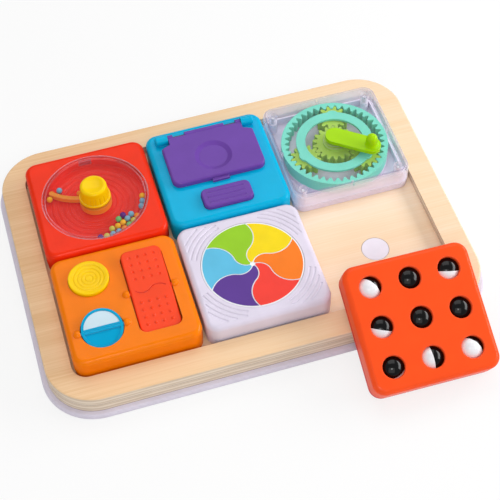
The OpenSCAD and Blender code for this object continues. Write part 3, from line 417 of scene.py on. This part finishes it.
def plywood(node, seed, pale=0.0):
    """Lacquered plywood: veneer with grain along the board and painted light that grows to the
    right, and layers with a painted shade line below them on the edges, where each panel sits."""
    shading = Shading("plywood_" + node)
    moved = shading.vector("ADD", shading.place, (seed, seed, 0))
    place = shading.split(shading.place)

    figure = shading.noise(*GRAIN_NOISE, shading.stretch(FIGURE_STRETCH, moved), FIGURE_BEND)
    fibre = shading.noise(*GRAIN_NOISE, shading.stretch(FIBRE_STRETCH, moved))
    grain = shading.maths(
        "ADD",
        shading.maths("MULTIPLY", figure, FIGURE_SHARE),
        shading.maths("MULTIPLY", fibre, FIBRE_SHARE),
    )
    # Painted light: the veneer is darker at the left and paler at the right, as if lit from the
    # right
    painted_shade_left, painted_light_right = VENEER_PAINTED_LIGHT_DRIFT
    painted_light_drift = shading.remap(
        place["X"], -VENEER_SPAN, VENEER_SPAN, pale + painted_shade_left, pale + painted_light_right)
    veneer = shading.ramp(shading.maths("ADD", grain, painted_light_drift), VENEER_RAMP)

    layer = shading.maths("PINGPONG", shading.maths("DIVIDE", place["Z"], PLY_T), 1.0)
    streak = shading.noise(*GRAIN_NOISE, shading.stretch(PLY_STREAK_STRETCH, moved))
    streak = shading.remap(streak, *GRAIN_SPAN, -PLY_STREAK, PLY_STREAK)
    edge = shading.ramp(shading.maths("ADD", layer, streak), PLY_RAMP)
    # Painted shade: the edges turn brown just above the foot of each panel
    above = shading.maths("SUBTRACT", place["Z"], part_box(node)[0].z)
    contact_shade = shading.remap(above, *CONTACT_SHADE_HEIGHT, CONTACT_SHADE_SHARE, 0.0)
    edge = shading.mix(contact_shade, edge, linear(CONTACT_SHADE_BROWN))

    upward = shading.maths("ABSOLUTE", shading.split(shading.flat())["Z"])
    upright = shading.remap(upward, *UPRIGHT_SPAN, 1, 0)
    shading.set(shading.shader, {
        "Base Color": shading.mix(upright, veneer, edge),
        "Specular IOR Level": WOOD_SHINE,
        "Roughness": shading.remap(fibre, *GRAIN_SPAN, *WOOD_ROUGH),
        "Normal": shading.bump(fibre, *FIBRE_BUMP),
    })
    return shading.material


def dress(material, *names):
    """Gives CAD nodes a material."""
    for name in names:
        slots = nodes[name].data.materials
        slots.clear()
        slots.append(material)


# Materials of the CAD nodes
FLOOR_GRAIN = 3.0
FLOOR_PALE = 0.14
FRAME_GRAIN = 8.0
# Painted sheen in the upright walls of the window and of the cover
WINDOW_PAINTED_SHEEN = 0.12
# Painted glint: two bright rings round the window's rim
WINDOW_GLINT_RINGS = ((38.5 * MM, 0.8 * MM), (36.5 * MM, 0.5 * MM))
COVER_PAINTED_SHEEN = 0.5
STEEL_ENDINGS = ("_screws", "_spring", "_clip")
steel_nodes = [name for name in nodes if name.endswith(STEEL_ENDINGS)]
button_nodes = ["push_button_%d" % i for i in range(1, 7)]
window_clear = clear(
    "window_clear", "bead_window", WINDOW_TINT, WINDOW_BODY, WINDOW_PAINTED_GLINT_LINE, WINDOW_PAINTED_SHEEN, WINDOW_GLINT_RINGS)
cover_clear = clear(
    "cover_clear", "gear_cover", COVER_TINT, COVER_BODY, COVER_PAINTED_SHADE_LINE, COVER_PAINTED_SHEEN)
dress(plastic("base_white", LILAC_WHITE), "base_tray")
dress(plywood("floor_panel", FLOOR_GRAIN, FLOOR_PALE), "floor_panel")
dress(plywood("frame_panel", FRAME_GRAIN), "frame_panel")
dress(steel("plain_steel", STEEL), *steel_nodes)
# The hinge pin is darkened steel: painted shade in the hinge slots
dress(steel("pin_shade_steel", PIN_SHADE_STEEL), "lid_hinge_pin")
dress(plastic("button_white", BUTTON_WHITE), *button_nodes)
dress(plastic("red_shell", RED), "bead_shell", "bead_pan")
dress(window_clear, "bead_window")
dress(plastic("yellow_plastic", YELLOW), "bead_knob", "dome_button")
dress(plastic("amber_plastic", AMBER), "bead_sweeper")
dress(bead_mix(), "beads")
dress(plastic("blue_shell", SKY_BLUE), "lid_shell", "lid_pan")
dress(plastic("purple_plastic", PURPLE), "lid", "release_button")
dress(cover_clear, "gear_cover")
dress(plastic("pan_white", TILE_WHITE), "gear_pan")
dress(plastic("gear_mint", MINT), "ring_gear", "planet_carrier")
dress(plastic("gear_green", GEAR_GREEN),
      "sun_gear", "planet_gear_1", "planet_gear_2", "planet_gear_3")
dress(plastic("lime_plastic", LIME), "crank_handle")
dress(plastic("orange_shell", ORANGE), "switch_shell", "switch_pan")
dress(plastic("cyan_plastic", CYAN), "flip_disc")
dress(plastic("insert_white", INSERT_WHITE), "flip_insert")
dress(plastic("coral_plastic", CORAL), "rocker")
dress(plastic("white_shell", TILE_WHITE), "wheel_shell", "wheel_pan")
dress(plastic("wheel_white", PURE_WHITE), "pinwheel")
dress(plastic("scarlet_shell", SCARLET), "ball_plate")
dress(plastic("tray_red", TRAY_RED), "ball_tray")

# Balls, row by row from the back left: the way that the white half faces, to the right, up the tile
# and out of it
BALL_FACES = (
    (-0.75, -0.54, 0.38),
    (0.26, 0.13, -0.96),
    (-0.19, -0.94, -0.28),
    (-0.37, -0.89, -0.27),
    (-0.16, -0.10, -0.98),
    (0.26, 0.13, -0.96),
    (0.25, -0.61, -0.75),
    (-1.0, -0.01, -0.03),
    (-0.71, -0.54, 0.45),
)
lean_right = (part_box("ball_9")[0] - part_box("ball_7")[0]).normalized()
lean_up = (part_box("ball_1")[0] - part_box("ball_7")[0]).normalized()
lean_ways = (lean_right, lean_up, lean_right.cross(lean_up))
for index, face in enumerate(BALL_FACES, 1):
    low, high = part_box("ball_%d" % index)
    axis = sum((part * way for part, way in zip(face, lean_ways)), Vector()).normalized()
    dress(two_tone("ball_halves_%d" % index, (low + high) / 2, axis), "ball_%d" % index)

# Springs under the buttons: the body that carries each one, and the joint
SPRINGS = {
    "dome_spring": ("switch_tile", "dome_press"),
    "release_spring": ("lid_tile", "release_press"),
}
for node, (body, joint) in SPRINGS.items():
    low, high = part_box(node)
    coil = bpy.data.objects.new(node + "_coil", nodes[node].data.copy())
    scene.collection.objects.link(coil)
    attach(coil, body)
    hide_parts(node)
    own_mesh(coil)

# Coloured sectors of the pinwheel
WHEEL_TURN = math.radians(24)
WHEEL_BEND = math.radians(46)
WHEEL_CROSS = 13.7 * MM
WHEEL_LINE = 0.8 * MM
WHEEL_RIM = 1.0 * MM
SECTOR_T = 0.14 * MM
SECTOR_SINK = 0.05 * MM
SECTOR_START = 1.9 * MM
SECTOR_ANGLE = math.radians(60)
SECTOR_RINGS = 40
SECTOR_STEPS = 24
SLOPE_STEP = 0.01 * MM
wheel_low, wheel_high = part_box("pinwheel")
wheel_r = (wheel_high.x - wheel_low.x) / 2
wheel_centre = (wheel_low + wheel_high) / 2
wheel_centre.z = wheel_high.z


def line_angle(r):
    """Angle of a line on the wheel at a distance from the centre, against its end at the rim."""
    if r <= WHEEL_CROSS:
        return WHEEL_BEND - math.asin(r / WHEEL_CROSS * math.sin(WHEEL_BEND))
    end = wheel_r + WHEEL_LINE
    bend_r = (end - WHEEL_CROSS) / 2 / math.sin(WHEEL_BEND)
    middle = Vector(((end + WHEEL_CROSS) / 2, bend_r * math.cos(WHEEL_BEND)))
    reach = middle.length
    cosine = (r * r + reach * reach - bend_r * bend_r) / (2 * r * reach)
    return math.atan2(middle.y, middle.x) - math.acos(min(1, cosine))


def sector_edge(r, side):
    """Angle of one edge of a sector, half a line away from the middle of the line there."""
    rise = line_angle(r + SLOPE_STEP) - line_angle(r - SLOPE_STEP)
    slope = math.atan(r * rise / (2 * SLOPE_STEP))
    return line_angle(r) + side * WHEEL_LINE / 2 / (r * math.cos(slope))


def add_sector(name, colour, turn):
    """One thin coloured sector between two lines of the wheel."""
    end = wheel_r - WHEEL_RIM
    mesh = bmesh.new()
    rows = []
    for i in range(SECTOR_RINGS + 1):
        r = SECTOR_START + (end - SECTOR_START) * i / SECTOR_RINGS
        first = sector_edge(r, 1)
        last = sector_edge(r, -1) + SECTOR_ANGLE
        row = []
        for k in range(SECTOR_STEPS + 1):
            angle = turn + first + (last - first) * k / SECTOR_STEPS
            point = Vector((r * math.cos(angle), r * math.sin(angle), SECTOR_T))
            row.append(mesh.verts.new(wheel_centre + point))
        rows.append(row)
    for inner, outer in zip(rows, rows[1:]):
        for k in range(SECTOR_STEPS):
            mesh.faces.new((inner[k], outer[k], outer[k + 1], inner[k + 1]))
    rim = [edge for edge in mesh.edges if edge.is_boundary]
    for part in bmesh.ops.extrude_edge_only(mesh, edges=rim)["geom"]:
        if isinstance(part, bmesh.types.BMVert):
            part.co.z = wheel_centre.z - SECTOR_SINK
    bmesh.ops.recalc_face_normals(mesh, faces=mesh.faces)
    data = bpy.data.meshes.new(name)
    mesh.to_mesh(data)
    mesh.free()
    data.materials.append(plastic(name, colour, SECTOR_ROUGH, False))
    piece = bpy.data.objects.new(name, data)
    scene.collection.objects.link(piece)
    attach(piece, "pinwheel")
    return piece


for index, (colour_name, colour) in enumerate(WHEEL_COLOURS.items()):
    sector = add_sector("wheel_sector_" + colour_name, colour, WHEEL_TURN + index * SECTOR_ANGLE)

# Camera
lens = bpy.data.cameras.new("camera")
lens.lens = CAMERA_LENS
camera = bpy.data.objects.new("camera", lens)
scene.collection.objects.link(camera)
camera.matrix_world = (
    Matrix.Translation(CAMERA_AT)
    @ Matrix.Rotation(math.radians(CAMERA_AZIMUTH), 4, "Z")
    @ Matrix.Rotation(math.radians(90 - CAMERA_ELEVATION), 4, "X")
    @ Matrix.Rotation(math.radians(CAMERA_ROLL), 4, "Z")
)
scene.camera = camera

# Floor
FLOOR_HALF = 40.0
FLOOR_Z = -0.1 * MM
FLOOR_CORNERS = ((-1, -1), (1, -1), (1, 1), (-1, 1))
FLOOR_COLOUR = (0.9, 0.9, 0.9, 1)
FLOOR_ROUGH = 0.9
FLOOR_GLOW = 0.75
UNDER_GAP = 0.5 * MM
WHITE = (1, 1, 1, 1)
floor_mesh = bpy.data.meshes.new("floor")
corners = [(x * FLOOR_HALF, y * FLOOR_HALF, FLOOR_Z) for x, y in FLOOR_CORNERS]
floor_mesh.from_pydata(corners, [], [(0, 1, 2, 3)])
floor = bpy.data.objects.new("floor", floor_mesh)
scene.collection.objects.link(floor)


def studio_white():
    """White floor that shows near white to the camera and keeps a faint shadow. It is open to what
    is under it and to light on the face that lies on it, so that the underside of the board shows
    from below."""
    shading = Shading("studio_white")
    shading.set(shading.shader, {"Base Color": FLOOR_COLOUR, "Roughness": FLOOR_ROUGH})
    glow = shading.add("Emission", {"Color": WHITE, "Strength": 1.0})
    path = shading.add("LightPath").outputs
    seen = shading.maths("MAXIMUM", path["Is Camera Ray"], path["Is Glossy Ray"])
    seen = shading.maths("MAXIMUM", seen, path["Is Transmission Ray"])
    lit = shading.blend(shading.maths("MULTIPLY", seen, FLOOR_GLOW), shading.shader, glow)
    under = shading.add("NewGeometry").outputs["Backfacing"]
    touching = shading.maths("LESS_THAN", path["Ray Length"], UNDER_GAP)
    gone = shading.maths("MAXIMUM", under, touching)
    return shading.show(shading.blend(gone, lit, shading.add("BsdfTransparent")))


floor_mesh.materials.append(studio_white())

# Light: each lamp's name, place, width, height and power in watts
WORLD_STRENGTH = 0.4
LAMPS = (
    ("side", (1.1, -0.1, 0.5), 1.3, 0.4, 10.0),
    ("back", (0.2, 0.9, 1.5), 1.6, 1.2, 9.0),
    ("fill", (-0.4, -1.1, 1.1), 1.5, 1.2, 6.0),
    ("front", (-0.14, -0.62, 0.86), 0.2, 0.2, 1.0),
)
scene.view_settings.view_transform = "Standard"
world = bpy.data.worlds.new("studio")
world.use_nodes = True
background = world.node_tree.nodes["Background"]
background.inputs["Color"].default_value = WHITE
background.inputs["Strength"].default_value = WORLD_STRENGTH
scene.world = world


def add_lamp(name, place, width, height, power):
    """Soft lamp that faces the middle of the board."""
    lamp = bpy.data.lights.new(name, "AREA")
    lamp.shape = "RECTANGLE"
    lamp.size = width
    lamp.size_y = height
    lamp.energy = power
    holder = bpy.data.objects.new(name, lamp)
    holder.location = place
    holder.rotation_euler = (-Vector(place)).to_track_quat("-Z", "Y").to_euler()
    scene.collection.objects.link(holder)


for lamp_facts in LAMPS:
    add_lamp(*lamp_facts)
